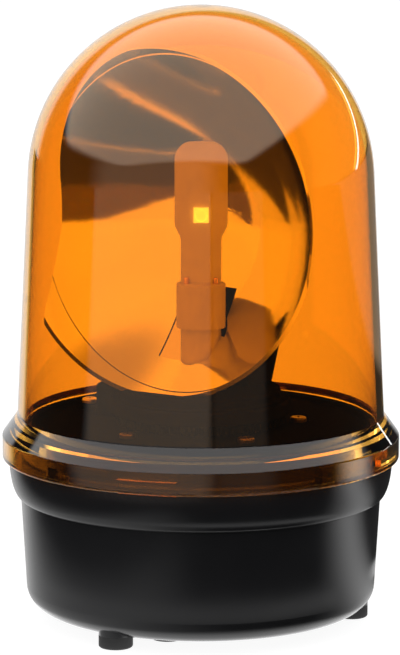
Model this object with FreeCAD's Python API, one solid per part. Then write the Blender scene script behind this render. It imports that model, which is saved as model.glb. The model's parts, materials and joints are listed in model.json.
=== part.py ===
"""Rotating mirror beacon: an amber dome over a turning parabolic reflector, on a black cup-shaped case.

Millimetres. The origin is the centre of the plane that the three feet stand on,
+Z is up and -Y is the front.
A direction round the axis is given as a bearing: degrees from the front, positive towards +X.
"""
import FreeCAD, Part
import math
import os

from FreeCAD import Vector

# ---- mounting and case ----
foot_height = 4.4           # how far the feet stand out below the case
foot_radius = 6.0
foot_circle = 54.3          # radius of the circle the feet lie on
foot_bearing = -32.8        # of the first foot
foot_count = 3
mount_hole_radius = 2.65    # for an M5 screw
foot_neck_radius = 4.0
foot_flange = 1.4           # thickness of the inner flange that holds a foot in
foot_flange_radius = 5.0

case_bottom_radius = 62.1   # outside of the wall, carried down to the underside
case_bottom_rounding = 8.3
case_wall_radius = 64.4     # outside of the wall, just below the rim
case_wall_height = 40.4     # from the underside to the rim
case_wall = 2.6
case_floor = 3.0
rim_radius = 68.5
rim_height = 13.85          # of the rounded rim
neck_radius = 64.2          # outside of the neck that the dome goes over
neck_height = 8.8

# ---- dome ----
collar_radius = 70.9
collar_height = 8.2         # of the upright part of the collar
collar_wall = 3.9
shoulder_radius = 65.45     # where the collar's bevel meets the dome
bevel_height = 7.6
dome_radius = 61.3          # of the round top
dome_centre_height = 99.6   # from the foot of the collar to the centre of the round top
dome_wall = 2.5

# ---- bayonet between case and dome ----
bayonet_count = 4
lug_bearing = -40.0
lug_angle = 24.0
lug_reach = 2.0
lug_height = 1.8
lug_drop = 2.5              # from the top of the neck to the top of a lug
tab_angle = 18.0
tab_height = 2.2
lock_angle = 24.0           # turn from the entry gap to the stop
bayonet_gap = 0.3
stop_width = 1.3

# ---- seal ----
seal_thickness = 1.3
seal_inner_radius = 61.9
seal_outer_radius = 64.2

# ---- chassis ----
chassis_radius = 60.5
chassis_top = 70.1
chassis_thickness = 2.2
chassis_lip = 2.3           # how far its edge stands above its floor
chassis_skirt = 8.0
chassis_edge = 1.6
chassis_screw_circle = 35.5
chassis_screw_places = 5    # the drive stands on the last of the five
chassis_screw_bearing = -45.8
post_radius = 3.6
screw_radius = 1.5
screw_head_radius = 2.9
screw_head_height = 1.6
screw_clearance = 0.2

# ---- lamp post and rotor bearing ----
post_tube_radius = 7.2
post_bore_radius = 4.2
post_thread_radius = 6.0
post_top = 105.3
post_bottom = 58.0
post_flange_radius = 11.0
post_flange = 1.9
nut_across_flats = 17.0
nut_height = 5.0
washer_thickness = 0.9
running_gap = 0.05
bush_wall = 1.75
bush_flange = 1.0
bush_top = 81.6
clip_thickness = 0.8
clip_width = 2.5
clip_depth = 0.4
clip_opening = 60.0

# ---- rotor ----
drum_radius = 32.0
drum_bottom = 74.9
drum_step = 80.1
drum_step_radius = 28.5
drum_top = 83.7
drum_web = 3.0
drum_bore_wall = 4.0
drum_rim = 8.0

# ---- gear pair ----
gear_module = 0.9
gear_teeth = 66
pinion_teeth = 14
pressure_angle = 20.0
addendum = 0.8              # in modules
dedendum = 1.05
backlash = 0.16
centre_slack = 0.12
gear_face = 3.3
gear_ring = 4.2
peg_count = 3
peg_radius = 1.5
drive_bearing = -125.0      # where the drive stands, seen from the axis

# ---- motor ----
motor_radius = 12.0
motor_length = 20.0
motor_boss_radius = 3.1
motor_boss = 1.5
motor_rear = 1.6            # boss at the back of the can
motor_rear_radius = 4.0
motor_shaft_radius = 1.0
motor_screw_circle = 5.0
cover_radius = 8.6
cover_wall = 1.1
cover_top = 80.9
cover_gap = 0.5
cover_ear = 13.9

# ---- reflector ----
mirror_focus = 22.0         # distance from the vertex to the rotor's axis
mirror_height = 143.8       # of the optical axis
mirror_bearing = -36.5      # where the optical axis points
mirror_radius = 59.1        # where the bowl ends and its rim band starts
mirror_step = 0.4           # by which the band is set back
band_flare = 0.72           # the band's outward slope
mirror_wall = 1.0
mirror_lip = 0.5
mouth_bearing = -31.0       # where the mouth faces
mouth_distance = 19.5       # from the rotor's axis to the plane of the mouth
swing_low_radius = 58.3     # what the reflector may reach as it turns
swing_low_height = 109.4
swing_radius = 55.9
swing_height = 137.4
swing_centre = 154.4        # height where its room starts to round over
swing_top = 205.0
window_radius = 18.2
window_top = 117.8
window_front = 6.4
window_left = 13.8
window_right = 7.0
post_hole_gap = 0.7
mirror_boss_radius = 4.0
mirror_boss = 3.0
seat_gap = 0.1

# ---- reflector bracket ----
rib_spacing = 23.4
rib_thickness = 4.8
rib_front = -9.6            # along the optical axis from the rotor's axis
rib_back = -24.0
plate_thickness = 2.4
plate_width = 15.0
plate_top = 150.0
foot_plate = 2.3
bracket_screw_spacing = 10.0

# ---- lamp ----
socket_radius = 8.75
socket_height = 15.7
board_thickness = 2.0
board_width = 18.8
board_neck = 14.4
board_top = 171.4
board_shoulder_low = 137.3
board_shoulder_high = 141.8
board_corner = 6.4
board_tail = 12.0
chip_size = 5.3
chip_height = 145.4
chip_thickness = 0.9
contact_spacing = 10.4
contact_radius = 0.9
contact_height = 2.3

# ---- electronics in the case ----
driver_height = 15.0        # from the floor to the underside of the driver board
driver_thickness = 1.6
driver_low = Vector(-42.0, -18.0, 0.0)
driver_high = Vector(28.0, 26.0, 0.0)
driver_inset = 4.0
lead_radius = 0.65
plug_size = Vector(8.0, 6.0, 7.0)
terminal_size = Vector(22.0, 9.0, 11.0)
terminal_count = 4
terminal_bore = 1.6

# ---- cable entry ----
entry_place = Vector(-11.6, -36.0, 0.0)
entry_radius = 7.0
entry_height = 3.9
entry_neck_radius = 5.2
entry_bore_radius = 3.2

# ---- heights that follow from the sizes above ----
case_bottom = foot_height
floor_top = case_bottom + case_floor
ledge = case_bottom + case_wall_height + rim_height
neck_top = ledge + neck_height
neck_inner_radius = case_wall_radius - case_wall
shoulder = neck_top + seal_thickness
bevel_foot = ledge + collar_height
dome_foot = bevel_foot + bevel_height
dome_centre = ledge + dome_centre_height
chassis_bottom = chassis_top - chassis_thickness
post_seat = chassis_top + post_flange
bush_bottom = post_seat + washer_thickness + running_gap
bush_bore = post_tube_radius + running_gap
bush_radius = bush_bore + bush_wall
gear_bottom = drum_bottom - gear_face
gear_pitch = gear_module * gear_teeth / 2
pinion_pitch = gear_module * pinion_teeth / 2
drive_distance = gear_pitch + pinion_pitch + centre_slack
driver_bottom = floor_top + driver_height
driver_top = driver_bottom + driver_thickness
socket_top = post_top + socket_height
UP = Vector(0, 0, 1)


def on_bearing(radius, bearing, z=0.0):
    """The point at a radius and bearing round the main axis."""
    turn = math.radians(bearing)
    return Vector(radius * math.sin(turn), -radius * math.cos(turn), z)


def rounded_edges(corners, place):
    """Edges of a closed outline. A corner is (a, b) or (a, b, rounding); place makes a point of a and b."""
    count = len(corners)
    ends = []
    for i, corner in enumerate(corners):
        here = place(corner[0], corner[1])
        rounding = corner[2] if len(corner) > 2 else 0.0
        before = place(*corners[i - 1][:2]) - here
        after = place(*corners[(i + 1) % count][:2]) - here
        if rounding <= 0:
            ends.append((here, None, here))
            continue
        half = before.getAngle(after) / 2
        reach = rounding / math.tan(half)
        start = here + before.normalize() * reach
        end = here + after.normalize() * reach
        inward = (before + after).normalize()
        middle = here + inward * (rounding / math.sin(half) - rounding)
        ends.append((start, middle, end))
    edges = []
    for i, (start, middle, end) in enumerate(ends):
        if middle is not None:
            edges.append(Part.Arc(start, middle, end).toShape())
        following = ends[(i + 1) % count][0]
        if end.distanceToPoint(following) > 1e-6:
            edges.append(Part.LineSegment(end, following).toShape())
    return edges


def face_of(edges):
    return Part.Face(Part.Wire(Part.__sortEdges__(edges)))


def turned(corners):
    """A solid of revolution about the main axis, from an outline of (radius, z, rounding) corners."""
    outline = rounded_edges(corners, lambda r, z: Vector(r, 0, z))
    return face_of(outline).revolve(Vector(), UP, 360)


def prism(corners, z, height):
    """An upright solid over an outline of (x, y, rounding) corners."""
    outline = rounded_edges(corners, lambda x, y: Vector(x, y, z))
    return face_of(outline).extrude(UP * height)


def column(radius, z_low, z_high, centre=Vector()):
    return Part.makeCylinder(radius, z_high - z_low, Vector(centre.x, centre.y, z_low))


def tube(outer, inner, z_low, z_high, centre=Vector()):
    return column(outer, z_low, z_high, centre).cut(column(inner, z_low - 1, z_high + 1, centre))


def ring_sector(inner, outer, z_low, z_high, bearing, angle):
    """A block of a ring, centred on a bearing."""
    corners = [(inner, z_low), (outer, z_low), (outer, z_high), (inner, z_high)]
    face = face_of(rounded_edges(corners, lambda r, z: Vector(r, 0, z)))
    block = face.revolve(Vector(), UP, angle)
    block.rotate(Vector(), UP, bearing - 90 - angle / 2)
    return block


def box(low, high):
    size = high - low
    return Part.makeBox(size.x, size.y, size.z, low)


def facing(shape, bearing):
    """Turns a shape built along +X so that it points along a bearing."""
    shape.rotate(Vector(), UP, bearing - 90)
    return shape


def screw(place, seat, length):
    """A pan-head screw, with its head on the seat height and a cross recess."""
    head = column(screw_head_radius, seat, seat + screw_head_height, place)
    rounding = screw_head_height * 0.45
    head = head.makeFillet(rounding, [edge for edge in head.Edges if edge.BoundBox.ZMin > seat + 0.5])
    shank = column(screw_radius, seat - length, seat + 0.1, place)
    body = head.fuse(shank)
    slot_length = screw_head_radius
    for across in (0, 90):
        slot = Part.makeBox(slot_length, 0.6, 0.9, Vector(-slot_length / 2, -0.3, seat + 0.9))
        slot.rotate(Vector(), UP, across)
        slot.translate(Vector(place.x, place.y, 0))
        body = body.cut(slot)
    return body.removeSplitter()


# ---- places shared by several pieces ----
def foot_places():
    return [on_bearing(foot_circle, foot_bearing + 360 / foot_count * i) for i in range(foot_count)]


def chassis_screw_places_used():
    step = 360 / chassis_screw_places
    used = range(chassis_screw_places - 1)
    return [on_bearing(chassis_screw_circle, chassis_screw_bearing + step * i) for i in used]


def driver_screw_places():
    xs = (driver_low.x + driver_inset, driver_high.x - driver_inset)
    ys = (driver_low.y + driver_inset, driver_high.y - driver_inset)
    return [Vector(x, y, 0) for x in xs for y in ys]


def drive_place():
    return on_bearing(drive_distance, drive_bearing)


def motor_screw_places():
    along = on_bearing(1, drive_bearing)
    across = Vector(-along.y, along.x, 0)
    return [drive_place() + across * (motor_screw_circle * side) for side in (-1, 1)]


def cover_screw_place():
    return on_bearing(drive_distance + cover_ear, drive_bearing)


# ---- case and mounting ----
def case():
    ledge_line = Part.LineSegment(Vector(rim_radius, 0, ledge), Vector(neck_radius, 0, ledge)).toShape()
    rim_centre = Vector(case_wall_radius, 0, ledge)
    rim_low = Vector(case_wall_radius, 0, ledge - rim_height)
    ellipse = Part.Ellipse(rim_low, Vector(rim_radius, 0, ledge), rim_centre)
    rim = Part.ArcOfEllipse(ellipse, 0, math.pi / 2).toShape()
    outer_low = Vector(case_bottom_radius, 0, case_bottom)
    down = outer_low - rim_low
    half = down.getAngle(Vector(1, 0, 0)) / 2
    reach = case_bottom_rounding / math.tan(half)
    wall_end = outer_low - down.normalize() * reach
    floor_end = outer_low - Vector(reach, 0, 0)
    inward = (wall_end - outer_low).normalize() + Vector(-1, 0, 0)
    middle = outer_low + inward.normalize() * (case_bottom_rounding / math.sin(half) - case_bottom_rounding)
    centre_low = Vector(0, 0, case_bottom)
    centre_high = Vector(0, 0, neck_top)
    edges = [
        Part.LineSegment(centre_low, floor_end).toShape(),
        Part.Arc(floor_end, middle, wall_end).toShape(),
        Part.LineSegment(wall_end, rim_low).toShape(),
        rim,
        ledge_line,
        Part.LineSegment(Vector(neck_radius, 0, ledge), Vector(neck_radius, 0, neck_top)).toShape(),
        Part.LineSegment(Vector(neck_radius, 0, neck_top), centre_high).toShape(),
        Part.LineSegment(centre_high, centre_low).toShape(),
    ]
    body = face_of(edges).revolve(Vector(), UP, 360)
    inner_low = case_bottom_radius - case_wall
    inside = turned([
        (0, floor_top),
        (inner_low, floor_top, case_bottom_rounding - case_wall),
        (neck_inner_radius, ledge - rim_height),
        (neck_inner_radius, neck_top + 1),
        (0, neck_top + 1),
    ])
    body = body.cut(inside)
    body = body.fuse(bayonet_lugs())
    for place in chassis_screw_places_used():
        body = body.fuse(column(post_radius, floor_top - 1, chassis_bottom, place))
        body = body.cut(column(screw_radius, chassis_bottom - 16, chassis_bottom + 1, place))
    for place in driver_screw_places():
        body = body.fuse(column(2.0 * screw_radius, floor_top - 1, driver_bottom, place))
        body = body.cut(column(screw_radius, driver_bottom - 9, driver_bottom + 1, place))
    for place in foot_places():
        body = body.fuse(column(foot_radius, case_bottom, floor_top + foot_flange, place))
        room_top = floor_top + 2 * case_bottom_rounding
        body = body.cut(column(foot_flange_radius + 0.1, floor_top, room_top, place))
        body = body.cut(column(foot_neck_radius + running_gap, 0, floor_top + 1, place))
    body = body.cut(column(entry_neck_radius + running_gap, 0, floor_top + 1, entry_place))
    return body.removeSplitter()


def bayonet_lugs():
    lug_top = neck_top - lug_drop
    outer = neck_radius + lug_reach
    step = 360 / bayonet_count
    pieces = []
    for i in range(bayonet_count):
        bearing = lug_bearing + step * i
        inner = neck_radius - 0.5
        pieces.append(ring_sector(inner, outer, lug_top - lug_height, lug_top, bearing, lug_angle))
        stop = math.degrees(stop_width / neck_radius)
        stop_bearing = bearing - lug_angle / 2 + stop / 2
        pieces.append(ring_sector(inner, outer, ledge - 0.1, lug_top, stop_bearing, stop))
    return pieces


def mounting_feet():
    """Rubber bushes: a foot below the floor, a neck through it and a flange that holds it in."""
    feet = []
    for place in foot_places():
        foot = turned([
            (mount_hole_radius, 0),
            (foot_radius, 0, 0.8),
            (foot_radius, case_bottom),
            (foot_neck_radius, case_bottom),
            (foot_neck_radius, floor_top),
            (foot_flange_radius, floor_top),
            (foot_flange_radius, floor_top + foot_flange, 0.6),
            (mount_hole_radius, floor_top + foot_flange),
        ])
        foot.translate(place)
        feet.append(foot)
    return Part.makeCompound(feet)


def cable_grommet():
    low = case_bottom - entry_height
    grommet = turned([
        (entry_bore_radius, low),
        (entry_radius - 1.2, low, 0.6),
        (entry_radius, case_bottom),
        (entry_neck_radius, case_bottom),
        (entry_neck_radius, floor_top),
        (entry_radius, floor_top),
        (entry_radius - 0.8, floor_top + 2.4, 0.6),
        (entry_bore_radius, floor_top + 2.4),
    ])
    grommet.translate(entry_place)
    return grommet


# ---- dome ----
def dome_side(offset):
    """Where the round top meets the sloping side, and that side's foot, both moved inwards."""
    foot = Vector(shoulder_radius, 0, dome_foot)
    centre = Vector(0, 0, dome_centre)
    gap = foot - centre
    lean = math.atan2(gap.x, -gap.z) - math.asin(dome_radius / gap.Length)
    normal = Vector(math.cos(lean), 0, math.sin(lean))
    tangent = centre + normal * (dome_radius - offset)
    return tangent, foot - normal * offset


def dome_lens():
    centre = Vector(0, 0, dome_centre)
    outer_top, outer_foot = dome_side(0.0)
    inner_top, inner_foot = dome_side(dome_wall)
    slope = (inner_foot - inner_top).normalize()
    inner_end = inner_foot + slope * ((shoulder - inner_foot.z) / slope.z)
    apex = centre + UP * dome_radius
    inner_apex = centre + UP * (dome_radius - dome_wall)
    half = math.radians(45)
    outer_mid = centre + Vector(math.cos(half), 0, math.sin(half)) * dome_radius
    inner_mid = centre + Vector(math.cos(half), 0, math.sin(half)) * (dome_radius - dome_wall)
    collar_inner = collar_radius - collar_wall
    points = [
        outer_foot,
        Vector(collar_radius, 0, bevel_foot),
        Vector(collar_radius, 0, ledge),
        Vector(collar_inner, 0, ledge),
        Vector(collar_inner, 0, shoulder),
        inner_end,
    ]
    edges = [
        Part.Arc(apex, outer_mid, outer_top).toShape(),
        Part.LineSegment(outer_top, outer_foot).toShape(),
        Part.LineSegment(inner_end, inner_top).toShape(),
        Part.Arc(inner_top, inner_mid, inner_apex).toShape(),
        Part.LineSegment(inner_apex, apex).toShape(),
    ]
    edges += [Part.LineSegment(a, b).toShape() for a, b in zip(points, points[1:])]
    body = face_of(edges).revolve(Vector(), UP, 360)
    rims = [e for e in body.Edges if is_ring(e, collar_radius, ledge) or is_ring(e, collar_radius, bevel_foot)]
    body = body.makeFillet(0.9, rims)
    step = 360 / bayonet_count
    tab_top = neck_top - lug_drop - lug_height - bayonet_gap
    for i in range(bayonet_count):
        bearing = lug_bearing + lock_angle + step * i
        inner = neck_radius + bayonet_gap
        tab_low = tab_top - tab_height
        body = body.fuse(ring_sector(inner, collar_inner + 0.5, tab_low, tab_top, bearing, tab_angle))
    return body.removeSplitter()


def is_ring(edge, radius, z):
    """True for a full circle of this radius round the main axis, at this height."""
    reach = edge.BoundBox
    flat = abs(reach.ZMin - z) < 1e-3 and abs(reach.ZMax - z) < 1e-3
    return flat and abs(reach.XMax - radius) < 1e-3 and abs(reach.XMin + radius) < 1e-3


def dome_seal():
    return turned([
        (seal_inner_radius, neck_top),
        (seal_outer_radius, neck_top),
        (seal_outer_radius, shoulder),
        (seal_inner_radius, shoulder),
    ])


# ---- chassis and what stands on it ----
def chassis_plate():
    inner = chassis_radius - chassis_edge
    plate = turned([
        (0, chassis_bottom),
        (inner, chassis_bottom),
        (inner, chassis_bottom - chassis_skirt),
        (chassis_radius, chassis_bottom - chassis_skirt, 0.5),
        (chassis_radius, chassis_top + chassis_lip, 0.7),
        (inner, chassis_top + chassis_lip, 0.7),
        (inner - 1.0, chassis_top, 0.8),
        (0, chassis_top),
    ])
    plate = plate.cut(column(post_thread_radius + 0.1, 0, 100))
    for place in chassis_screw_places_used():
        plate = plate.cut(column(screw_radius + screw_clearance, 0, 100, place))
    plate = plate.cut(column(motor_boss_radius + 0.1, 0, 100, drive_place()))
    for place in motor_screw_places():
        plate = plate.cut(column(screw_radius * 0.7 + 0.1, 0, 100, place))
    plate = plate.cut(column(screw_radius + 0.05, 0, 100, cover_screw_place()))
    return plate.removeSplitter()


def chassis_screws():
    return Part.makeCompound([screw(place, chassis_top, 14) for place in chassis_screw_places_used()])


def lamp_post():
    groove = post_tube_radius - clip_depth
    clip_low = bush_top + 2 * running_gap
    clip_high = clip_low + clip_thickness + running_gap
    return turned([
        (post_bore_radius, post_bottom),
        (post_thread_radius, post_bottom, 0.5),
        (post_thread_radius, chassis_top),
        (post_flange_radius, chassis_top),
        (post_flange_radius, post_seat, 0.4),
        (post_tube_radius, post_seat),
        (post_tube_radius, clip_low),
        (groove, clip_low),
        (groove, clip_high),
        (post_tube_radius, clip_high),
        (post_tube_radius, post_top),
        (post_bore_radius, post_top),
    ])


def post_nut():
    radius = nut_across_flats / math.sqrt(3)
    angles = [math.radians(60 * i) for i in range(6)]
    corners = [(radius * math.cos(a), radius * math.sin(a)) for a in angles]
    nut = prism(corners, chassis_bottom - nut_height, nut_height)
    bevel = turned([
        (0, chassis_bottom - nut_height),
        (radius - 1.0, chassis_bottom - nut_height),
        (radius + 1.0, chassis_bottom - nut_height + 1.2),
        (radius + 1.0, chassis_bottom),
        (0, chassis_bottom),
    ])
    return nut.common(bevel).cut(column(post_thread_radius + running_gap, 0, 100))


def thrust_washer():
    return tube(post_flange_radius - 0.2, post_tube_radius + 0.1, post_seat, post_seat + washer_thickness)


def retaining_clip():
    """A snap ring in the post's groove, with a gap and two eyes to open it by."""
    low = bush_top + 2 * running_gap
    inner = post_tube_radius - clip_depth + running_gap
    outer = inner + clip_width
    ring = ring_sector(inner, outer, low, low + clip_thickness, 0, 360 - clip_opening)
    for side in (-1, 1):
        bearing = side * (180 - clip_opening / 2)
        eye = on_bearing(outer - 0.9, bearing)
        ring = ring.fuse(column(1.3, low, low + clip_thickness, eye))
        ring = ring.cut(column(0.5, low - 1, low + 2, eye))
    ring = ring.cut(column(inner, low - 1, low + 2))
    return facing(ring.removeSplitter(), mirror_bearing + 90)


# ---- rotor ----
def rotor_bush():
    return turned([
        (bush_bore, bush_bottom),
        (post_flange_radius + 0.5, bush_bottom, 0.3),
        (post_flange_radius + 0.5, bush_bottom + bush_flange),
        (bush_radius, bush_bottom + bush_flange),
        (bush_radius, bush_top),
        (bush_bore, bush_top),
    ])


def rotor_drum():
    bore = bush_radius + 0.02
    hub = bore + drum_bore_wall
    clip_well = bush_radius + 1.6
    drum = turned([
        (bore, bush_bottom + bush_flange),
        (hub, bush_bottom + bush_flange),
        (hub, drum_top - drum_web, 1.0),
        (drum_radius - drum_rim, drum_top - drum_web, 1.0),
        (drum_radius - drum_rim, drum_bottom),
        (drum_radius, drum_bottom, 0.5),
        (drum_radius, drum_step, 0.8),
        (drum_step_radius, drum_step, 0.6),
        (drum_step_radius, drum_top, 1.2),
        (clip_well, drum_top, 0.4),
        (clip_well, bush_top),
        (bore, bush_top),
    ])
    ribs = []
    for i in range(6):
        outer = drum_radius - drum_rim + 0.5
        rib = box(Vector(hub - 0.5, -0.8, drum_bottom + 1.5), Vector(outer, 0.8, drum_top - 1))
        rib.rotate(Vector(), UP, 60 * i + 15)
        ribs.append(rib)
    bosses = [column(2.2 * screw_radius, drum_bottom + 1, drum_top - 1, p) for p in bracket_screw_places()]
    drum = drum.fuse(ribs + bosses)
    for place in bracket_screw_places():
        drum = drum.cut(column(screw_radius, drum_bottom + 2, drum_top + 1, place))
    for place in peg_places():
        drum = drum.cut(column(peg_radius + 0.05, drum_bottom - 1, drum_bottom + 3, place))
    return drum.cut(mirror_room(3 * seat_gap)).removeSplitter()


def peg_places():
    radius = drum_radius - drum_rim / 2 - 1.0
    return [on_bearing(radius, mirror_bearing + 360 / peg_count * i) for i in range(peg_count)]


def gear_outline(teeth):
    """Corners of an involute spur gear's outline, with a tooth centred on the +X axis."""
    pitch = gear_module * teeth / 2
    base = pitch * math.cos(math.radians(pressure_angle))
    tip = pitch + addendum * gear_module
    root = pitch - dedendum * gear_module
    def roll(radius):
        angle = math.acos(min(1.0, base / radius))
        return math.tan(angle) - angle
    half_tooth = (math.pi * gear_module / 2 - backlash / 2) / (2 * pitch)
    start = max(base, root)
    radii = [start + (tip - start) * step / 3 for step in range(4)]
    flank = [(radius, half_tooth + roll(pitch) - roll(radius)) for radius in radii]
    if root < base:
        flank.insert(0, (root, flank[0][1]))
    corners = []
    for i in range(teeth):
        centre = 2 * math.pi * i / teeth
        polar = [(r, centre - a) for r, a in flank] + [(r, centre + a) for r, a in reversed(flank)]
        corners += [(r * math.cos(a), r * math.sin(a)) for r, a in polar]
    return corners


def ring_gear():
    gear = prism(gear_outline(gear_teeth), gear_bottom, gear_face)
    gear = gear.cut(column(gear_pitch - gear_ring, 0, 100))
    facing(gear, drive_bearing)
    pegs = [column(peg_radius, drum_bottom - 0.5, drum_bottom + 2.5, place) for place in peg_places()]
    return gear.fuse(pegs)


def drive_pinion():
    low = gear_bottom - 0.3
    pinion = prism(gear_outline(pinion_teeth), low, gear_face)
    half_space = 180 / pinion_teeth
    pinion.rotate(Vector(), UP, 180 + half_space)
    facing(pinion, drive_bearing)
    pinion.translate(drive_place())
    return pinion.cut(column(motor_shaft_radius, 0, 100, drive_place()))


def motor_shaft():
    return column(motor_shaft_radius, chassis_bottom - 6, cover_top - 2.4, drive_place())


def motor_low():
    return chassis_bottom - motor_length - motor_rear


def motor():
    centre = drive_place()
    can = column(motor_radius, chassis_bottom - motor_length, chassis_bottom, centre)
    low_edges = [e for e in can.Edges if e.BoundBox.ZMax < chassis_bottom - motor_length + 0.1]
    can = can.makeFillet(1.2, low_edges)
    can = can.fuse(column(motor_boss_radius, chassis_bottom - 1, chassis_bottom + motor_boss, centre))
    rear = column(motor_rear_radius, motor_low(), chassis_bottom - motor_length + 1, centre)
    can = can.fuse(rear)
    can = can.cut(column(motor_shaft_radius + running_gap, chassis_bottom - 6.3, 100, centre))
    for place in motor_screw_places():
        can = can.cut(column(screw_radius * 0.7, chassis_bottom - 4.5, 100, place))
    return can


def motor_screws():
    """Two small flat-head screws, low enough to clear the pinion above them."""
    screws = []
    for place in motor_screw_places():
        head = column(1.75, chassis_top, chassis_top + 0.8, place)
        screws.append(head.fuse(column(screw_radius * 0.65, chassis_bottom - 4, chassis_top + 0.1, place)))
    return Part.makeCompound(screws)


def pinion_cover():
    """A hood over the pinion, open on the side where the ring gear meshes, with an ear for its screw."""
    centre = drive_place()
    room = gear_pitch + addendum * gear_module
    body = column(cover_radius, chassis_top, cover_top, centre)
    body = body.makeFillet(1.4, [e for e in body.Edges if e.BoundBox.ZMin > cover_top - 0.1])
    ear_place = cover_screw_place()
    ear = prism([
        (drive_distance, -3.6),
        (drive_distance + cover_ear + 3.6, -3.6, 3.4),
        (drive_distance + cover_ear + 3.6, 3.6, 3.4),
        (drive_distance, 3.6),
    ], chassis_top, 2.2)
    body = body.fuse(facing(ear, drive_bearing))
    body = body.cut(column(cover_radius - cover_wall, chassis_top - 1, gear_bottom + gear_face + 1.2, centre))
    body = body.cut(column(max(room, drum_radius) + cover_gap, 0, 200))
    body = body.cut(column(motor_shaft_radius + running_gap, 0, cover_top - 2.2, centre))
    body = body.cut(column(screw_radius + screw_clearance, 0, 100, ear_place))
    return largest(body.removeSplitter())


def cover_screw():
    return screw(cover_screw_place(), chassis_top + 2.2, 8)


def largest(shape):
    return max(shape.Solids, key=lambda solid: solid.Volume)


# ---- reflector: built along +X, which is its optical axis, then turned to its bearing ----
def bowl_solid(grow_out, grow_back):
    """The filled form of the bowl and its rim band, grown outwards and backwards."""
    edge_depth = mirror_radius ** 2 / (4 * mirror_focus)
    radius = mirror_radius + grow_out
    depth = edge_depth + grow_back
    vertex = -mirror_focus - grow_back
    curve = Part.Parabola()
    curve.Focal = radius ** 2 / (4 * depth)
    bowl_edge = curve.toBSpline(0, radius).toShape()
    bowl_edge.translate(Vector(vertex, 0, 0))
    band_start = vertex + depth
    band_end = mirror_radius
    points = [
        Vector(band_start, radius, 0),
        Vector(band_start, radius + mirror_step, 0),
        Vector(band_end, radius + mirror_step + band_flare * (band_end - band_start), 0),
        Vector(band_end, 0, 0),
        Vector(vertex, 0, 0),
    ]
    edges = [bowl_edge] + [Part.LineSegment(a, b).toShape() for a, b in zip(points, points[1:])]
    solid = face_of(edges).revolve(Vector(), Vector(1, 0, 0), 360)
    solid.translate(Vector(0, 0, mirror_height))
    return facing(solid, mirror_bearing)


def behind_mouth(distance):
    """Everything behind a plane parallel to the mouth, at a distance in front of the rotor's axis."""
    size = 4 * mirror_radius
    block = box(Vector(distance - size, -size, 0), Vector(distance, size, 2 * mirror_height))
    return facing(block, mouth_bearing)


def swing_room():
    """The round-topped body that the reflector stays inside, so that it clears the dome as it turns."""
    room = turned([
        (0, drum_bottom),
        (swing_low_radius, drum_bottom),
        (swing_low_radius, swing_low_height),
        (swing_radius, swing_height),
        (swing_radius, swing_centre),
        (0, swing_centre),
    ])
    room = room.fuse(Part.makeSphere(swing_radius, Vector(0, 0, swing_centre)))
    return room.common(column(swing_low_radius + 1, drum_bottom, swing_top))


def mirror_room(gap):
    """The reflector's filled form with a gap all round, which its neighbours are cut back by."""
    grow = mirror_wall + gap
    lip = bowl_solid(grow + mirror_lip, grow).common(behind_mouth(mouth_distance + gap))
    lip = lip.cut(behind_mouth(mouth_distance - mirror_wall - gap))
    bowl = bowl_solid(grow, grow).common(behind_mouth(mouth_distance + gap))
    return bowl.fuse(lip)


def reflector():
    inner = bowl_solid(0, 0)
    shell = bowl_solid(mirror_wall, mirror_wall).common(behind_mouth(mouth_distance))
    lip = bowl_solid(mirror_wall + mirror_lip, mirror_wall).common(behind_mouth(mouth_distance))
    lip = lip.cut(behind_mouth(mouth_distance - mirror_wall))
    boss_end = Vector(plate_face(), 0, mirror_height)
    boss = Part.makeCylinder(mirror_boss_radius, mirror_boss + 2, boss_end, Vector(1, 0, 0))
    shell = shell.fuse([lip, facing(boss, mirror_bearing)]).cut(inner)
    shell = shell.common(swing_room())
    shell = shell.cut(column(post_tube_radius + post_hole_gap, 0, mirror_height))
    shell = shell.cut(column(socket_radius + post_hole_gap, post_top - 3, mirror_height))
    shell = shell.cut(mirror_window())
    shell = shell.cut(mirror_screw_hole(screw_radius))
    return largest(shell.removeSplitter())


def mirror_window():
    """The opening behind the lamp post that lets the socket and the board through."""
    window = column(window_radius, drum_bottom, window_top)
    low = Vector(-window_radius - 1, -window_left, 0)
    block = box(low, Vector(window_front, window_right, window_top + 1))
    return window.common(facing(block, mouth_bearing))


def mirror_screw_hole(radius):
    start = Vector(plate_face() - 1, 0, mirror_height)
    hole = Part.makeCylinder(radius, mirror_boss + 0.8, start, Vector(1, 0, 0))
    return facing(hole, mirror_bearing)


def plate_face():
    """How far behind the rotor's axis the bracket's upright plate meets the reflector's boss."""
    return -mirror_focus - mirror_wall - mirror_boss


def bracket_screw_places():
    middle = (rib_front + rib_back) / 2
    places = []
    for side in (-1, 1):
        place = facing(Part.Vertex(middle, side * bracket_screw_spacing / 2, 0), mirror_bearing).Point
        places.append(place)
    return places


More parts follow.
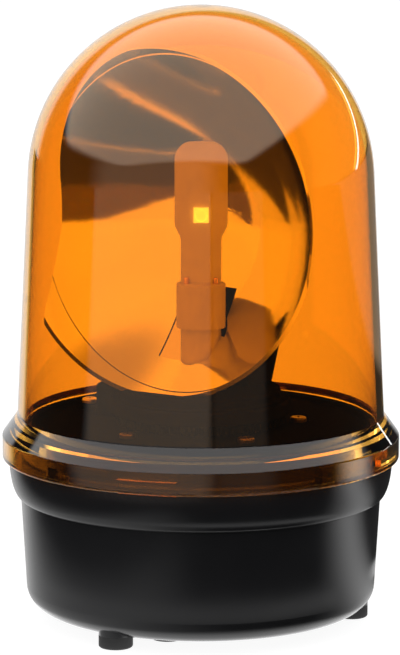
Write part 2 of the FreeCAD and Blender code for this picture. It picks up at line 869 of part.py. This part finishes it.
def reflector_bracket():
    back = plate_face() - plate_thickness
    low = drum_top
    side_outline = [
        Vector(rib_front, 0, low),
        Vector(rib_front, 0, low + 42),
        Vector(back, 0, low + 48),
        Vector(back, 0, low + 12),
        Vector(rib_back, 0, low),
    ]
    wire = Part.makePolygon(side_outline + side_outline[:1])
    ribs = []
    for side in (-1, 1):
        rib = Part.Face(wire).extrude(Vector(0, rib_thickness, 0))
        rib.translate(Vector(0, side * rib_spacing / 2 - rib_thickness / 2, 0))
        ribs.append(rib)
    half = (rib_spacing + rib_thickness) / 2
    foot = box(Vector(rib_back, -half, low), Vector(rib_front, half, low + foot_plate))
    web = box(Vector(rib_back, -half, low), Vector(rib_back + plate_thickness, half, low + 13))
    upright = box(Vector(back, -half, low + 12), Vector(back + plate_thickness, half, low + 45))
    tongue = box(Vector(back, -plate_width / 2, low + 12), Vector(back + plate_thickness, plate_width / 2, plate_top))
    bracket = foot.fuse(ribs + [web, upright, tongue])
    facing(bracket, mirror_bearing)
    bracket = bracket.cut(mirror_room(seat_gap))
    bracket = bracket.cut(mirror_screw_hole(screw_radius + screw_clearance))
    hole = Part.makeCylinder(
        screw_radius + screw_clearance, 2 * plate_thickness, Vector(back - 1, 0, mirror_height), Vector(1, 0, 0)
    )
    bracket = bracket.cut(facing(hole, mirror_bearing))
    for place in bracket_screw_places():
        bracket = bracket.cut(column(screw_radius + screw_clearance, 0, drum_top + 5, place))
    return largest(bracket.removeSplitter())


def bracket_screws():
    return Part.makeCompound([screw(place, drum_top + foot_plate, 7) for place in bracket_screw_places()])


def mirror_screw():
    """The screw that holds the reflector's boss to the bracket's upright plate, from behind."""
    length = plate_thickness + mirror_boss - 0.4
    piece = screw(Vector(), 0, length)
    piece.rotate(Vector(), Vector(0, 1, 0), -90)
    piece.translate(Vector(plate_face() - plate_thickness, 0, mirror_height))
    return facing(piece, mirror_bearing)


# ---- lamp ----
def lamp_socket():
    body = column(socket_radius, post_top, socket_top)
    body = body.makeFillet(0.5, [e for e in body.Edges if e.BoundBox.ZMin > socket_top - 0.1])
    half_width = board_neck / 2 + 0.1
    half_depth = board_thickness / 2 + 0.1
    slot_low = socket_top - board_tail - 0.2
    slot = box(Vector(-half_width, -half_depth, slot_low), Vector(half_width, half_depth, socket_top + 1))
    bore = column(post_bore_radius, post_top - 1, slot_low - 1.5)
    return body.cut(slot).cut(bore).cut(contact_pockets())


def contact_places():
    depth = board_thickness / 2 + 0.1 + contact_radius
    return [Vector(side * contact_spacing / 2, -depth, 0) for side in (-1, 1)]


def contact_pockets():
    radius = contact_radius + 0.02
    places = contact_places()
    return Part.makeCompound([column(radius, socket_top - 9, socket_top + 1, p) for p in places])


def socket_contacts():
    pins = []
    for place in contact_places():
        pin = column(contact_radius, socket_top - 8.9, socket_top + contact_height, place)
        top = [e for e in pin.Edges if e.BoundBox.ZMin > socket_top + contact_height - 0.1]
        pins.append(pin.makeFillet(0.6, top))
    return Part.makeCompound(pins)


def led_board():
    low = socket_top - board_tail
    half = board_width / 2
    neck = board_neck / 2
    outline = [
        (-neck, low),
        (-neck, board_shoulder_low, 4.0),
        (-half, board_shoulder_high, 4.0),
        (-half, board_top, board_corner),
        (half, board_top, board_corner),
        (half, board_shoulder_high, 4.0),
        (neck, board_shoulder_low, 4.0),
        (neck, low),
    ]
    edges = rounded_edges(outline, lambda x, z: Vector(x, -board_thickness / 2, z))
    return face_of(edges).extrude(Vector(0, board_thickness, 0))


def led_chips():
    """One chip on each face of the board, each a frame with a slightly sunk lens."""
    chips = []
    for side in (-1, 1):
        face = side * board_thickness / 2
        front = face + side * chip_thickness
        low = Vector(-chip_size / 2, min(face, front), chip_height - chip_size / 2)
        high = Vector(chip_size / 2, max(face, front), chip_height + chip_size / 2)
        chip = box(low, high)
        start = Vector(0, front - side * 0.3, chip_height)
        recess = Part.makeCylinder(chip_size * 0.42, 1, start, Vector(0, side, 0))
        chips.append(chip.cut(recess))
    return Part.makeCompound(chips)


# ---- electronics ----
def driver_board():
    corners = [
        (driver_low.x, driver_low.y, 2.0),
        (driver_high.x, driver_low.y, 2.0),
        (driver_high.x, driver_high.y, 2.0),
        (driver_low.x, driver_high.y, 2.0),
    ]
    board = prism(corners, driver_bottom, driver_thickness)
    for place in driver_screw_places():
        board = board.cut(column(screw_radius + screw_clearance, 0, 100, place))
    return board


def driver_screws():
    return Part.makeCompound([screw(place, driver_top, 8) for place in driver_screw_places()])


def plug_places():
    return [Vector(0, 0, driver_top), Vector(drive_place().x, drive_place().y, driver_top)]


def lead_places():
    """The two leads at each plug, as (place, top): up the post's bore, and up to the motor."""
    lamp, drive = plug_places()
    tops = [(lamp, socket_top - board_tail - 1.7), (drive, motor_low())]
    return [(place + Vector(side * 1.9, 0, 0), top) for place, top in tops for side in (-1, 1)]


def board_plugs():
    plugs = []
    for place in plug_places():
        low = place - Vector(plug_size.x / 2, plug_size.y / 2, 0)
        plugs.append(box(low, low + plug_size))
    shape = Part.makeCompound(plugs)
    for place in [lead[0] for lead in lead_places()]:
        shape = shape.cut(column(lead_radius + 0.02, driver_top + 2, post_top, place))
    return shape


def lead_pair(index):
    wires = []
    for place, top in lead_places()[2 * index:2 * index + 2]:
        reach = top - 0.3 if index == 0 else top - 0.02
        wires.append(column(lead_radius, driver_top + 2, reach, place))
    return Part.makeCompound(wires)


def driver_parts():
    """Choke, smoothing capacitor, regulator and its heat sink on the driver board."""
    z = driver_top
    choke = tube(7.0, 2.6, z, z + 7.0, Vector(16, -3, 0))
    choke = choke.makeFillet(1.4, [e for e in choke.Edges if e.BoundBox.ZLength < 0.1])
    capacitor = column(5.0, z, z + 13.5, Vector(17, 14, 0))
    capacitor = capacitor.makeFillet(0.8, [e for e in capacitor.Edges if e.BoundBox.ZMin > z + 13])
    chip = box(Vector(-16, 2, z), Vector(-8, 10, z + 1.8))
    sink = box(Vector(-2, 12, z), Vector(8, 21, z + 9))
    for i in range(4):
        y = 13.2 + 2.2 * i
        sink = sink.cut(box(Vector(-3, y, z + 2), Vector(9, y + 1.1, z + 10)))
    return Part.makeCompound([choke, capacitor, chip, sink])


def terminal_places():
    pitch = terminal_size.x / terminal_count
    left = -terminal_size.x / 2 + pitch / 2 + terminal_centre().x
    return [Vector(left + pitch * i, terminal_centre().y, 0) for i in range(terminal_count)]


def terminal_centre():
    return Vector(-4, driver_low.y + terminal_size.y / 2 + 0.5, driver_top)


def terminal_block():
    centre = terminal_centre()
    low = centre - Vector(terminal_size.x / 2, terminal_size.y / 2, 0)
    block = box(low, low + terminal_size)
    for place in terminal_places():
        mouth = Vector(place.x, low.y - 1, driver_top + 4)
        way_in = Part.makeCylinder(terminal_bore, terminal_size.y - 2, mouth, Vector(0, 1, 0))
        block = block.cut(way_in)
        block = block.cut(column(terminal_bore + 0.2, driver_top + 4, driver_top + 20, place))
    return block


def terminal_screws():
    screws = []
    for place in terminal_places():
        top = driver_top + terminal_size.z - 1.2
        body = column(terminal_bore, top - 3.0, top, place)
        slot_low = Vector(place.x - 2, place.y - 0.3, top - 0.8)
        slot_high = Vector(place.x + 2, place.y + 0.3, top + 1)
        screws.append(body.cut(box(slot_low, slot_high)))
    return Part.makeCompound(screws)


def export(name, shape):
    shape.exportStep("parts/" + name + ".step")
    state = "valid" if shape.isValid() else "NOT VALID"
    print(name, len(shape.Solids), "solids", round(shape.Volume, 1), "mm3", state)


os.makedirs("parts", exist_ok=True)
pieces = [
    case, mounting_feet, cable_grommet,
    dome_lens, dome_seal,
    chassis_plate, chassis_screws,
    lamp_post, post_nut, thrust_washer, retaining_clip,
    rotor_bush, rotor_drum, ring_gear,
    drive_pinion, motor_shaft, motor, motor_screws, pinion_cover, cover_screw,
    reflector, reflector_bracket, bracket_screws, mirror_screw,
    lamp_socket, socket_contacts, led_board, led_chips,
    driver_board, driver_screws, driver_parts, board_plugs, terminal_block, terminal_screws,
]
for piece in pieces:
    export(piece.__name__, piece())
export("lamp_leads", lead_pair(0))
export("motor_leads", lead_pair(1))
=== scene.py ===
"""Looks, light and camera for the rotating beacon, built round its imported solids.

Metres, in the solids' own frame: the feet stand on z = 0, +Z is up and -Y is the front.
The solids keep their shapes and get materials. The studio is a world and a floor that reflect
in the object as light panels, sheets and a dark table, while the camera sees white.
"""

import json
import math

import bpy
from mathutils import Matrix, Vector


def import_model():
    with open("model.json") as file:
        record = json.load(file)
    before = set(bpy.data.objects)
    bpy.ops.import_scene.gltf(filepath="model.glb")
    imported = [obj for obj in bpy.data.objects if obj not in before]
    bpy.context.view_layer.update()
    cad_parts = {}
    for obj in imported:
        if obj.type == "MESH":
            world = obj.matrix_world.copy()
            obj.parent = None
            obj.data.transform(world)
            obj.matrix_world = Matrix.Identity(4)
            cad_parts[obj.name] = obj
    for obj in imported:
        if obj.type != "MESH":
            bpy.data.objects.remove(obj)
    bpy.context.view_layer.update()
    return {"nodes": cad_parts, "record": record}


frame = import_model()
nodes = frame["nodes"]

# ---- camera ----
CAMERA_PLACE = Vector((0.0, -1.20019, 0.31084))
CAMERA_PITCH = 80.26
CAMERA_ROLL = 0.1
CAMERA_LENS = 188.0
CAMERA_SENSOR = 36.0
CAMERA_SHIFT = -0.0014

# ---- colours, as a shader takes them ----
AMBER = (1.0, 0.495, 0.07)
AMBER_SHADOW = (1.0, 0.55, 0.16)
BLACK = (0.011, 0.011, 0.012)
# Painted shade: a darker black than the case, for the pieces under the dome.
SHADE_DARKENED_BLACK = (0.004, 0.004, 0.004)
WHITE = (1.0, 1.0, 1.0)

# The pieces under the dome that take that darker black as painted shade.
INNER_PIECES = ("chassis_plate", "rotor_drum", "ring_gear", "reflector_bracket", "pinion_cover")

# ---- surfaces ----
NOISE_MIDDLE = (0.3, 0.7)
ROUGHNESS_VARIATION = 0.1

# ---- light ----
# A level is radiance, where 1 is white. A bearing is in degrees from the front, towards +X.
# A direction with a pair of numbers is a soft edge: where along it the light starts, and where
# it is full. A sheet or card is a level and its edges, each a bearing and a distance.
ROOM_LIGHT = 0.03
ROOM_ON_MATT = 0.45

# What the outsides reflect in the room: a panel overhead, a wall behind, a card at the front
# left, and a thin line of light. A glow behind shows only through clear plastic.
PANEL_LIGHT = 1.55
PANEL_EDGES = [(-0.507, 0.0, 0.862), (0.222, 0.0, 0.975), (0.0, 0.312, 0.95), (0.0, -0.6, 0.8)]
PANEL_SOFT = (-0.06, 0.06)
WALL_LIGHT = 0.9
WALL_MIDDLE = (-0.199, 0.98, 0.0)
WALL_EDGE = (0.85, 0.9)
FRONT_CARD = (0.45, [(17, 0.0), (-84, 0.0)])
FRONT_CARD_SOFT = 0.2
LINE_LIGHT = 5.0
LINE_SQUARE = (0.3065, -0.4088, 0.8597)
LINE_WIDTH = (0.02, 0.01)
LINE_ENDS = [((1, 0, 0), 0.42, 0.5), ((1, 0, 0), 0.85, 0.82), ((0, 1, 0), 0.3, 0.5)]
BEHIND = (0.5, 0.87, 0.0)
BEHIND_SOFT = (0.1, 0.6)

# What the outsides reflect in the floor: sheets, and rings round the object's foot.
SHEETS = [
    (0.85, [(117.7, -0.11), (-108, 0.0)]),
    (2.0, [(172, 0.0), (12, 0.0), (-84, -0.42)]),
    (0.45, [(17, 0.0), (-84, 0.0), (-30, 0.25)]),
    (0.15, [(97, 0.0), (-50, 0.0), (30, 0.25)]),
    (0.2, [(180, 0.5), (90, 0.0)]),
]
SHEET_SOFT = 0.05
RINGS = [(1.6, 0.0, 0.06), (0.7, 0.098, 0.108)]
RING_SOFT = 0.01

# What the mirror under the dome reflects: a greenish tent, dimmer at its top, and its own sheets.
TENT_LIGHT = 1.75
TENT_COLOUR = (0.93, 1.0, 0.85)
TENT_SOFT = (-0.05, 0.0)
TENT_TOP = (0.88, 0.97)
TENT_TOP_SHARE = 0.5
MIRROR_SHEETS = [(1.6, [(-74, 0.263), (5, 0.31)]), (1.3, [(180, 0.0)])]
MIRROR_SHEET_SOFT = 0.02
TABLE_IN_MIRROR = 0.09

# Counts that tell rays apart: a ray that has gone into the dome and out again has passed more
# clear faces than the first, and a ray that nothing has reflected has fewer bounces than the other.
FACES_OF_ONE_WALL = 2.5
NO_BOUNCE = 0.5

FLOOR_REACH = 6.0
FLOOR_GLOW = 0.92
FLOOR_SHADE = 0.28


# ---- node helpers ----
def new_material(name):
    material = bpy.data.materials.new(name)
    material.use_nodes = True
    tree = material.node_tree
    tree.nodes.clear()
    output = tree.nodes.new("ShaderNodeOutputMaterial")
    shader = tree.nodes.new("ShaderNodeBsdfPrincipled")
    tree.links.new(shader.outputs["BSDF"], output.inputs["Surface"])
    return material, tree, shader, output


def noise(tree, scale, detail=3.0):
    """Noise over the object's own coordinates; scale counts features per metre."""
    place = tree.nodes.new("ShaderNodeTexCoord")
    texture = tree.nodes.new("ShaderNodeTexNoise")
    texture.inputs["Scale"].default_value = scale
    texture.inputs["Detail"].default_value = detail
    tree.links.new(place.outputs["Object"], texture.inputs["Vector"])
    return texture.outputs["Fac"]


def spread(tree, value, low, high):
    """Maps the middle of a noise onto a range."""
    mapper = tree.nodes.new("ShaderNodeMapRange")
    mapper.inputs["From Min"].default_value = NOISE_MIDDLE[0]
    mapper.inputs["From Max"].default_value = NOISE_MIDDLE[1]
    mapper.inputs["To Min"].default_value = low
    mapper.inputs["To Max"].default_value = high
    tree.links.new(value, mapper.inputs["Value"])
    return mapper.outputs["Result"]


def blend_colours(tree, value, dark, light):
    """Maps the middle of a noise onto the colours between two."""
    ramp = tree.nodes.new("ShaderNodeValToRGB")
    ramp.color_ramp.elements[0].position = NOISE_MIDDLE[0]
    ramp.color_ramp.elements[0].color = (*dark, 1.0)
    ramp.color_ramp.elements[1].position = NOISE_MIDDLE[1]
    ramp.color_ramp.elements[1].color = (*light, 1.0)
    tree.links.new(value, ramp.inputs["Fac"])
    return ramp.outputs["Color"]


def bump(tree, value, distance):
    node = tree.nodes.new("ShaderNodeBump")
    node.inputs["Distance"].default_value = distance
    tree.links.new(value, node.inputs["Height"])
    return node.outputs["Normal"]


def stepped(tree, value, start, end, low=0.0, high=1.0):
    """Runs smoothly from low to high as the value runs from start to end."""
    step = tree.nodes.new("ShaderNodeMapRange")
    step.interpolation_type = "SMOOTHSTEP"
    step.inputs["From Min"].default_value = start
    step.inputs["From Max"].default_value = end
    step.inputs["To Min"].default_value = low
    step.inputs["To Max"].default_value = high
    tree.links.new(value, step.inputs["Value"])
    return step.outputs["Result"]


def maths(tree, operation, *values):
    """A number worked out from other nodes' outputs or from floats."""
    node = tree.nodes.new("ShaderNodeMath")
    node.operation = operation
    for socket, value in zip(node.inputs, values):
        if isinstance(value, float):
            socket.default_value = value
        else:
            tree.links.new(value, socket)
    return node.outputs["Value"]


def across(tree, place, direction):
    """How far a place lies along a direction."""
    node = tree.nodes.new("ShaderNodeVectorMath")
    node.operation = "DOT_PRODUCT"
    node.inputs[1].default_value = direction
    tree.links.new(place, node.inputs[0])
    return node.outputs["Value"]


def inside(tree, masks):
    """1 where all of the masks are 1, and less at their soft edges."""
    value = masks[0]
    for mask in masks[1:]:
        value = maths(tree, "MULTIPLY", value, mask)
    return value


def brightest(tree, levels, least):
    """The highest of the levels, and no less than the least."""
    value = maths(tree, "MAXIMUM", levels[0], least)
    for level in levels[1:]:
        value = maths(tree, "MAXIMUM", value, level)
    return value


def shaded(colour, factor):
    return tuple(min(1.0, c * factor) for c in colour)


def surface(name, colour, roughness, metallic=0.0, variation=0.06, grain=900.0, grain_depth=0.0):
    """An opaque material: a colour and a roughness that vary slightly, and a fine grain."""
    material, tree, shader, _ = new_material(name)
    cloud = noise(tree, scale=60.0)
    dark = shaded(colour, 1 - variation)
    light = shaded(colour, 1 + variation)
    tree.links.new(blend_colours(tree, cloud, dark, light), shader.inputs["Base Color"])
    smoother = roughness * (1 - ROUGHNESS_VARIATION)
    rougher = roughness * (1 + ROUGHNESS_VARIATION)
    tree.links.new(spread(tree, cloud, smoother, rougher), shader.inputs["Roughness"])
    shader.inputs["Metallic"].default_value = metallic
    if grain_depth:
        grains = noise(tree, grain, detail=2.0)
        tree.links.new(bump(tree, grains, grain_depth), shader.inputs["Normal"])
    return material, shader


# ---- materials ----
def black_case():
    return surface("black_case", BLACK, 0.19, grain=2600.0, grain_depth=0.00001)[0]


def black_inner():
    """The case black, made darker and without sheen for the pieces under the dome: painted shade.
    """
    material, shader = surface("black_inner", SHADE_DARKENED_BLACK, 0.9, grain=1800.0, grain_depth=0.00001)
    shader.inputs["Specular IOR Level"].default_value = 0.0
    return material


def black_rubber():
    colour = (0.016, 0.016, 0.016)
    return surface("black_rubber", colour, 0.75, grain=1500.0, grain_depth=0.00002)[0]


def amber_lens():
    """Clear amber plastic. Light rays pass it tinted, so that what stands inside is lit."""
    material, tree, shader, output = new_material("amber_lens")
    shader.inputs["Base Color"].default_value = (*AMBER, 1.0)
    shader.inputs["Transmission Weight"].default_value = 1.0
    shader.inputs["IOR"].default_value = 1.49
    shader.inputs["Coat Weight"].default_value = 0.3
    shader.inputs["Coat IOR"].default_value = 1.55
    shader.inputs["Coat Roughness"].default_value = 0.02
    tree.links.new(spread(tree, noise(tree, scale=18.0), 0.0, 0.02), shader.inputs["Roughness"])
    path = tree.nodes.new("ShaderNodeLightPath")
    clear = tree.nodes.new("ShaderNodeBsdfTransparent")
    clear.inputs["Color"].default_value = (*AMBER_SHADOW, 1.0)
    mix = tree.nodes.new("ShaderNodeMixShader")
    tree.links.new(path.outputs["Is Shadow Ray"], mix.inputs["Fac"])
    tree.links.new(shader.outputs["BSDF"], mix.inputs[1])
    tree.links.new(clear.outputs["BSDF"], mix.inputs[2])
    tree.links.new(mix.outputs["Shader"], output.inputs["Surface"])
    return material


def mirror_coat():
    return surface("mirror_coat", (0.86, 0.86, 0.87), 0.1, metallic=1.0, variation=0.01)[0]


def zinc_steel():
    colour = (0.6, 0.57, 0.5)
    return surface("zinc_steel", colour, 0.32, metallic=1.0, grain=1200.0, grain_depth=0.00001)[0]


def shade_darkened_zinc():
    """Zinc steel made darker, painted shade, for the screws in the floor under the dome."""
    colour = (0.12, 0.11, 0.1)
    return surface("shade_darkened_zinc", colour, 0.38, metallic=1.0, grain=1200.0, grain_depth=0.00001)[0]


def pale_nylon():
    return surface("pale_nylon", (0.78, 0.77, 0.72), 0.42)[0]


def brass():
    return surface("brass", (0.74, 0.5, 0.2), 0.28, metallic=1.0)[0]


def pale_post():
    return surface("pale_post", (0.62, 0.58, 0.5), 0.5)[0]


def board_white():
    return surface("board_white", (0.66, 0.63, 0.56), 0.55)[0]


def led_yellow():
    material, shader = surface("led_yellow", (0.95, 0.82, 0.25), 0.25)
    # Painted glow: the LED is not lit, and this emission stands in for light on its yellow
    # phosphor.
    shader.inputs["Emission Color"].default_value = (0.95, 0.72, 0.3, 1.0)
    shader.inputs["Emission Strength"].default_value = 1.7
    return material


def board_green():
    return surface("board_green", (0.02, 0.16, 0.07), 0.3)[0]


def dark_parts():
    return surface("dark_parts", (0.05, 0.05, 0.055), 0.4)[0]


def terminal_grey():
    return surface("terminal_grey", (0.34, 0.36, 0.37), 0.45)[0]


def lead_red():
    return surface("lead_red", (0.45, 0.03, 0.02), 0.45)[0]


MAKERS = [
    black_case,
    black_inner,
    black_rubber,
    amber_lens,
    mirror_coat,
    zinc_steel,
    shade_darkened_zinc,
    pale_nylon,
    brass,
    pale_post,
    board_white,
    led_yellow,
    board_green,
    dark_parts,
    terminal_grey,
    lead_red,
]
materials = {maker.__name__: maker() for maker in MAKERS}


def dress_solids():
    """Solids take their record's materials; some under the dome get darker ones, painted shade."""
    for part in frame["record"]["subparts"]:
        piece = nodes[part["node"]]
        piece.data.materials.clear()
        piece.data.materials.append(materials[part["material_slot"]])
    # Painted shade: the pieces under the dome take a darker black than the case.
    for name in INNER_PIECES:
        nodes[name].data.materials[0] = materials["black_inner"]
    # Painted shade: the chassis screws take a darker zinc than their record's zinc steel.
    nodes["chassis_screws"].data.materials[0] = materials["shade_darkened_zinc"]


# ---- studio ----
def light_path(tree):
    """1 for rays that come straight from the camera or only through clear plastic, else 0."""
    path = tree.nodes.new("ShaderNodeLightPath").outputs
    straight = maths(tree, "MAXIMUM", path["Is Camera Ray"], path["Is Transmission Ray"])
    no_diffuse = maths(tree, "LESS_THAN", path["Diffuse Depth"], NO_BOUNCE)
    no_glossy = maths(tree, "LESS_THAN", path["Glossy Depth"], NO_BOUNCE)
    return inside(tree, [straight, no_diffuse, no_glossy])


def first_or_later(tree, first, later):
    """The first level for reflections on the outside, the later one for rays that have gone
    into the dome and out again; and the colour that goes with the level."""
    path = tree.nodes.new("ShaderNodeLightPath").outputs
    left = maths(tree, "GREATER_THAN", path["Transmission Depth"], FACES_OF_ONE_WALL)
    mix = tree.nodes.new("ShaderNodeMix")
    tree.links.new(left, mix.inputs["Factor"])
    tree.links.new(first, mix.inputs["A"])
    tree.links.new(later, mix.inputs["B"])
    tint = tree.nodes.new("ShaderNodeValToRGB")
    tint.color_ramp.elements[0].color = (*WHITE, 1.0)
    tint.color_ramp.elements[1].color = (*TENT_COLOUR, 1.0)
    tree.links.new(left, tint.inputs["Fac"])
    return mix.outputs["Result"], tint.outputs["Color"]


def sheet(tree, place, soft, level, edges):
    """A level cut by straight edges, each square to a bearing at a distance, and 0 outside."""
    masks = []
    for bearing, distance in edges:
        turn = math.radians(bearing)
        along = across(tree, place, (math.sin(turn), -math.cos(turn), 0))
        masks.append(stepped(tree, along, distance - soft, distance + soft))
    return maths(tree, "MULTIPLY", inside(tree, masks), level)


def tent_level(tree, place):
    """A tent all round above the horizon, dimmer at its top."""
    up = across(tree, place, (0, 0, 1))
    tent = stepped(tree, up, *TENT_SOFT, ROOM_LIGHT, TENT_LIGHT)
    return maths(tree, "MULTIPLY", tent, stepped(tree, up, *TENT_TOP, 1.0, TENT_TOP_SHARE))


def room_level(tree, place):
    """The panel, the wall, the card and the line, with the glow behind for clear plastic."""
    path = tree.nodes.new("ShaderNodeLightPath").outputs
    panel = [stepped(tree, across(tree, place, edge), *PANEL_SOFT) for edge in PANEL_EDGES]
    panel = stepped(tree, inside(tree, panel), 0.0, 1.0, ROOM_LIGHT, PANEL_LIGHT)
    wall = stepped(tree, across(tree, place, WALL_MIDDLE), *WALL_EDGE, ROOM_LIGHT, WALL_LIGHT)
    card = sheet(tree, place, FRONT_CARD_SOFT, *FRONT_CARD)
    line = [stepped(tree, maths(tree, "ABSOLUTE", across(tree, place, LINE_SQUARE)), *LINE_WIDTH)]
    for direction, start, end in LINE_ENDS:
        line.append(stepped(tree, across(tree, place, direction), start, end))
    line = maths(tree, "MULTIPLY", inside(tree, line), LINE_LIGHT)
    behind = stepped(tree, across(tree, place, BEHIND), *BEHIND_SOFT)
    behind = inside(tree, [behind, path["Is Transmission Ray"]])
    return brightest(tree, [panel, wall, line, behind, card], ROOM_LIGHT)


def world():
    """White to the camera, also through the dome, and the studio's room to the surfaces."""
    scene = bpy.context.scene
    scene.world = bpy.data.worlds.new("studio")
    scene.world.use_nodes = True
    tree = scene.world.node_tree
    tree.nodes.clear()
    output = tree.nodes.new("ShaderNodeOutputWorld")
    seen = tree.nodes.new("ShaderNodeBackground")
    room = tree.nodes.new("ShaderNodeBackground")
    mix = tree.nodes.new("ShaderNodeMixShader")
    place = tree.nodes.new("ShaderNodeTexCoord").outputs["Generated"]
    path = tree.nodes.new("ShaderNodeLightPath").outputs
    level, tint = first_or_later(tree, room_level(tree, place), tent_level(tree, place))
    share = stepped(tree, path["Is Diffuse Ray"], 0.0, 1.0, 1.0, ROOM_ON_MATT)
    tree.links.new(maths(tree, "MULTIPLY", level, share), room.inputs["Strength"])
    tree.links.new(tint, room.inputs["Color"])
    seen.inputs["Color"].default_value = (*WHITE, 1.0)
    tree.links.new(light_path(tree), mix.inputs["Fac"])
    tree.links.new(room.outputs["Background"], mix.inputs[1])
    tree.links.new(seen.outputs["Background"], mix.inputs[2])
    tree.links.new(mix.outputs["Shader"], output.inputs["Surface"])


def sheet_levels(tree):
    """What reflections see on the floor: sheets and rings on a dark table."""
    place = tree.nodes.new("ShaderNodeTexCoord").outputs["Object"]
    length = tree.nodes.new("ShaderNodeVectorMath")
    length.operation = "LENGTH"
    tree.links.new(place, length.inputs[0])
    away = length.outputs["Value"]
    first = [sheet(tree, place, SHEET_SOFT, *piece) for piece in SHEETS]
    for level, inner, outer in RINGS:
        within = stepped(tree, away, outer + RING_SOFT, outer)
        beyond = stepped(tree, away, inner - RING_SOFT, inner)
        first.append(maths(tree, "MULTIPLY", inside(tree, [beyond, within]), level))
    first = brightest(tree, first, ROOM_LIGHT)
    later = [sheet(tree, place, MIRROR_SHEET_SOFT, *piece) for piece in MIRROR_SHEETS]
    later = brightest(tree, later, TABLE_IN_MIRROR)
    return first_or_later(tree, first, later)


def floor():
    """A pale floor that keeps the object's shadow; reflections see the sheets in its place."""
    mesh = bpy.data.meshes.new("floor")
    signs = [(-1, -1), (1, -1), (1, 1), (-1, 1)]
    corners = [(x * FLOOR_REACH, y * FLOOR_REACH, 0) for x, y in signs]
    mesh.from_pydata(corners, [], [(0, 1, 2, 3)])
    piece = bpy.data.objects.new("floor", mesh)
    bpy.context.scene.collection.objects.link(piece)
    material, tree, pale, output = new_material("floor")
    pale.inputs["Base Color"].default_value = (FLOOR_SHADE, FLOOR_SHADE, FLOOR_SHADE, 1.0)
    pale.inputs["Roughness"].default_value = 0.9
    pale.inputs["Specular IOR Level"].default_value = 0.0
    pale.inputs["Emission Color"].default_value = (*WHITE, 1.0)
    pale.inputs["Emission Strength"].default_value = FLOOR_GLOW
    table = tree.nodes.new("ShaderNodeEmission")
    mix = tree.nodes.new("ShaderNodeMixShader")
    level, tint = sheet_levels(tree)
    tree.links.new(level, table.inputs["Strength"])
    tree.links.new(tint, table.inputs["Color"])
    tree.links.new(light_path(tree), mix.inputs["Fac"])
    tree.links.new(table.outputs["Emission"], mix.inputs[1])
    tree.links.new(pale.outputs["BSDF"], mix.inputs[2])
    tree.links.new(mix.outputs["Shader"], output.inputs["Surface"])
    piece.data.materials.append(material)


def camera():
    data = bpy.data.cameras.new("camera")
    data.lens = CAMERA_LENS
    data.sensor_width = CAMERA_SENSOR
    data.sensor_fit = "AUTO"
    data.shift_x = CAMERA_SHIFT
    piece = bpy.data.objects.new("camera", data)
    bpy.context.scene.collection.objects.link(piece)
    pitch = Matrix.Rotation(math.radians(CAMERA_PITCH), 4, "X")
    roll = Matrix.Rotation(math.radians(CAMERA_ROLL), 4, "Z")
    piece.matrix_world = Matrix.Translation(CAMERA_PLACE) @ pitch @ roll
    bpy.context.scene.camera = piece


dress_solids()
world()
floor()
camera()
bpy.context.scene.view_settings.view_transform = "Standard"
